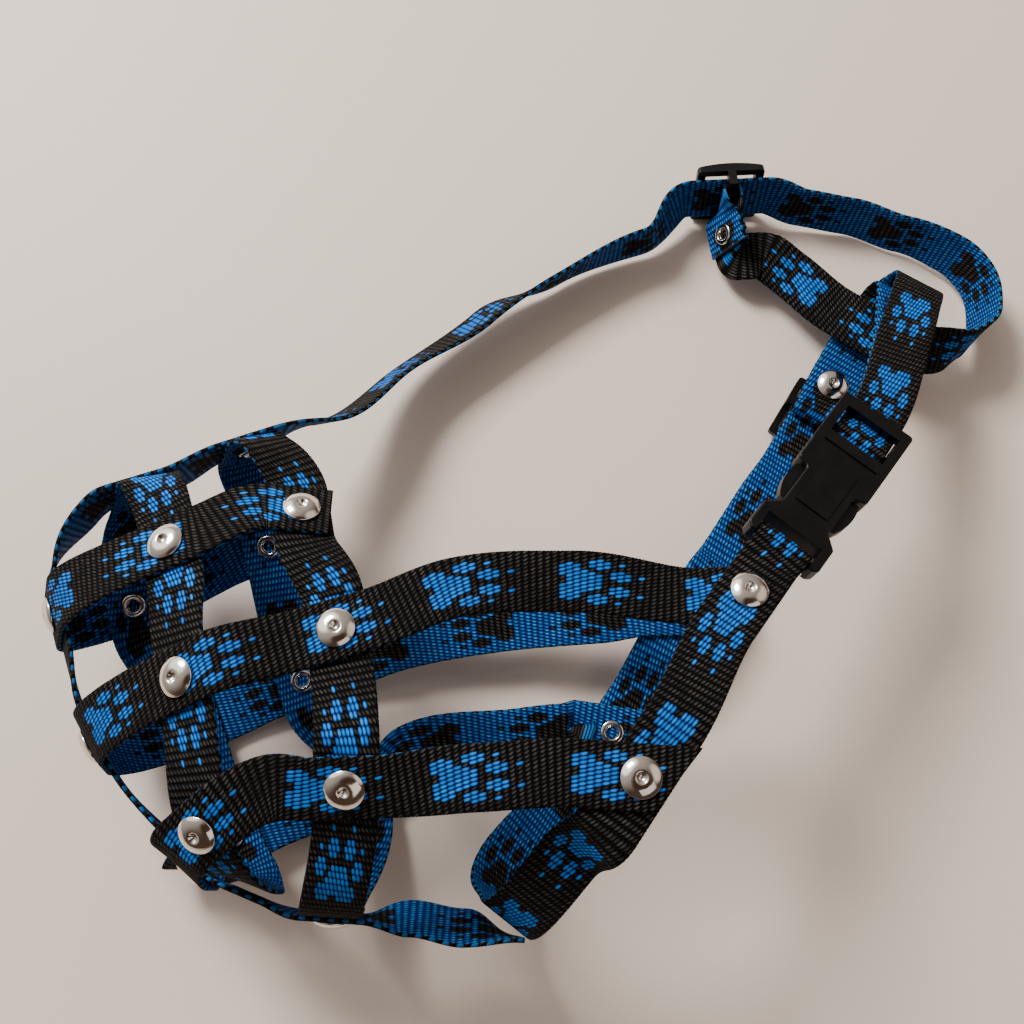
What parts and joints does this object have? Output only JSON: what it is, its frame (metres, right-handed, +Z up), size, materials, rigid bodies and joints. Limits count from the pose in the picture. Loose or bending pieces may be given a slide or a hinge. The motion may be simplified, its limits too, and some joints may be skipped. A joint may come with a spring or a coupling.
{
  "type": "basket muzzle",
  "caption": "Open basket muzzle of riveted flat webbing, with side straps, two bands, a centre strap, arched sliders and a side-release buckle on the neck strap.",
  "frame": {"origin": "middle of the bounding box's footprint, on the surface that the muzzle lies on", "axes": "+X from the nose end to the neck loop, +Y from the chin side to the forehead side, +Z up"},
  "size_m": [0.2798, 0.2292, 0.0766],
  "materials": {
    "webbing": "woven jacquard",
    "rivet_metal": "polished nickel",
    "plastic": "fine matte"
  },
  "bodies": {
    "muzzle": {"buckle_female": "plastic", "buckle_loop_webbing": "webbing", "centre_strap": "webbing", "forehead_loop": "webbing", "forehead_slider_webbing": "webbing", "front_band": "webbing", "neck_return_strap": "webbing", "rear_band": "webbing", "rivet_chin_rear": "rivet_metal", "rivet_left_lower_front": "rivet_metal", "rivet_left_lower_rear": "rivet_metal", "rivet_left_middle_front": "rivet_metal", "rivet_left_middle_rear": "rivet_metal", "rivet_left_upper_front": "rivet_metal", "rivet_left_upper_rear": "rivet_metal", "rivet_nose_lower": "rivet_metal", "rivet_nose_middle": "rivet_metal", "rivet_nose_upper": "rivet_metal", "rivet_right_lower_front": "rivet_metal", "rivet_right_lower_rear": "rivet_metal", "rivet_right_middle_front": "rivet_metal", "rivet_right_middle_rear": "rivet_metal", "rivet_right_upper_front": "rivet_metal", "rivet_right_upper_rear": "rivet_metal", "rivet_throat_left_lower": "rivet_metal", "rivet_throat_left_middle": "rivet_metal", "rivet_throat_right_lower": "rivet_metal", "rivet_throat_right_middle": "rivet_metal", "rivet_top_rear": "rivet_metal", "side_strap_lower": "webbing", "side_strap_middle": "webbing", "side_strap_upper": "webbing", "throat_strap": "webbing"},
    "buckle_plug": {"buckle_male": "plastic"},
    "left_prong": {"buckle_prong_left": "plastic"},
    "right_prong": {"buckle_prong_right": "plastic"},
    "neck_adjuster": {"slider_neck": "plastic", "neck_loop_end": "webbing", "rivet_neck_loop": "rivet_metal"},
    "forehead_adjuster": {"slider_forehead": "plastic", "forehead_loop_end": "webbing", "rivet_forehead_loop": "rivet_metal"}
  },
  "joints": [
    {"name": "buckle_release", "type": "slide", "parent": "muzzle", "child": "buckle_plug", "axis": [0.6149, 0.7709, -0.166], "range_m": [0, 0.02], "deforming": ["buckle_prong_left", "buckle_prong_right", "buckle_loop_webbing"]},
    {"name": "prong_left_squeeze", "type": "hinge", "parent": "buckle_plug", "child": "left_prong", "pos_m": [0.0713, 0.00957, 0.04993], "axis": [0.1013, 0.1316, 0.9861], "range_deg": [0, 12], "stiffness_Nm_per_rad": 0.05},
    {"name": "prong_right_squeeze", "type": "hinge", "parent": "buckle_plug", "child": "right_prong", "pos_m": [0.08022, 0.00246, 0.04996], "axis": [0.1013, 0.1316, 0.9861], "range_deg": [-12, 0], "stiffness_Nm_per_rad": 0.05},
    {"name": "neck_slider_slide", "type": "slide", "parent": "muzzle", "child": "neck_adjuster", "axis": [0.5319, 0.8468, 0], "range_m": [-0.006, 0.006], "deforming": ["neck_loop_end"]},
    {"name": "forehead_slider_slide", "type": "slide", "parent": "muzzle", "child": "forehead_adjuster", "axis": [0.9988, 0.0499, 0], "range_m": [-0.005, 0.005], "deforming": ["forehead_slider_webbing", "forehead_loop_end"]}
  ],
  "couplings": [
    {"joint": "prong_right_squeeze", "follows": "prong_left_squeeze", "ratio": -1}
  ]
}
